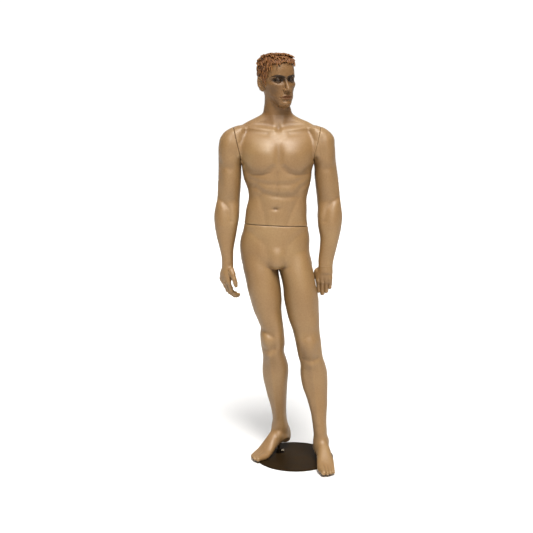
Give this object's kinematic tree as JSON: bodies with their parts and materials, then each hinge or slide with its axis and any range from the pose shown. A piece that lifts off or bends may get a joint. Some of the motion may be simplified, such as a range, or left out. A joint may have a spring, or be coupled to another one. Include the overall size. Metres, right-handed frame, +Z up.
{
  "type": "full-body male display mannequin",
  "caption": "Standing male display mannequin on a round steel base, with a turning waist, lift-off arms and hands, moulded hair and a painted face.",
  "frame": {"origin": "centre of the round base on the floor, at the underside of its felt", "axes": "+Z up; the figure faces -Y, with its right side towards -X"},
  "size_m": [0.5772, 0.4314, 1.84],
  "materials": {
    "skin": "satin painted fibreglass, flesh coloured",
    "hair": "sculpted fibreglass hair, painted brown",
    "plate": "dark bronze powder coat",
    "felt": "black felt",
    "steel": "zinc plated steel",
    "chrome": "polished chrome",
    "board": "birch plywood"
  },
  "bodies": {
    "base": {"base_felt": "felt", "base_plate": "plate", "spigot_bolt": "steel", "spigot_washer": "steel", "foot_spigot": "steel", "spigot_collar": "plate"},
    "thumb_screw": {"spigot_thumb_screw": "chrome"},
    "lower_body": {"lower_body_shell": "skin", "foot_socket": "steel", "pelvis_bulkhead": "board", "waist_socket": "steel", "waist_socket_screw_1": "steel", "waist_socket_screw_2": "steel", "waist_socket_screw_3": "steel"},
    "waist_fitting": {"waist_spigot": "steel"},
    "torso": {"torso_shell": "skin", "head_shell": "skin", "hair": "hair", "torso_bulkhead": "board", "waist_key_plate": "steel", "waist_key_screw_1": "steel", "waist_key_screw_2": "steel", "waist_key_screw_3": "steel", "right_shoulder_socket": "steel", "left_shoulder_socket": "steel", "right_shoulder_screw_1": "steel", "right_shoulder_screw_2": "steel", "left_shoulder_screw_1": "steel", "left_shoulder_screw_2": "steel"},
    "right_arm": {"right_arm_shell": "skin", "right_arm_plate": "steel", "right_arm_screw_1": "steel", "right_arm_screw_2": "steel", "right_wrist_bush": "steel"},
    "right_wrist_fitting": {"right_wrist_pin": "chrome"},
    "right_hand_body": {"right_hand": "skin", "right_hand_insert": "steel"},
    "left_arm": {"left_arm_shell": "skin", "left_arm_plate": "steel", "left_arm_screw_1": "steel", "left_arm_screw_2": "steel", "left_wrist_bush": "steel"},
    "left_wrist_fitting": {"left_wrist_pin": "chrome"},
    "left_hand_body": {"left_hand": "skin", "left_hand_insert": "steel"}
  },
  "joints": [
    {"name": "figure_lift", "type": "slide", "parent": "base", "child": "lower_body", "axis": [0, 0, 1], "range_m": [0, 0.08]},
    {"name": "thumb_screw_turn", "type": "hinge", "parent": "base", "child": "thumb_screw", "pos_m": [-0.073, 0.037, 0.02], "axis": [0.9806, -0.1961, 0], "range_deg": [-90, 90]},
    {"name": "waist_turn", "type": "hinge", "parent": "lower_body", "child": "waist_fitting", "pos_m": [-0.09, 0.002, 1.0885], "axis": [0.041, 0, 0.9992], "range_deg": [0, 40]},
    {"name": "torso_lift", "type": "slide", "parent": "waist_fitting", "child": "torso", "axis": [0.041, 0, 0.9992], "range_m": [0, 0.06]},
    {"name": "right_arm_pull", "type": "slide", "parent": "torso", "child": "right_arm", "axis": [-0.9848, 0, 0.174], "range_m": [0, 0.055]},
    {"name": "right_wrist_turn", "type": "hinge", "parent": "right_arm", "child": "right_wrist_fitting", "pos_m": [-0.31, -0.014, 0.905], "axis": [0, 0, 1], "range_deg": [-45, 60]},
    {"name": "right_hand_pull", "type": "slide", "parent": "right_wrist_fitting", "child": "right_hand_body", "axis": [0, 0, -1], "range_m": [0, 0.026]},
    {"name": "left_arm_pull", "type": "slide", "parent": "torso", "child": "left_arm", "axis": [0.9848, 0, 0.174], "range_m": [0, 0.055]},
    {"name": "left_wrist_turn", "type": "hinge", "parent": "left_arm", "child": "left_wrist_fitting", "pos_m": [0.135, -0.016, 0.905], "axis": [0, 0, 1], "range_deg": [-60, 0]},
    {"name": "left_hand_pull", "type": "slide", "parent": "left_wrist_fitting", "child": "left_hand_body", "axis": [0, 0, -1], "range_m": [0, 0.026]}
  ]
}
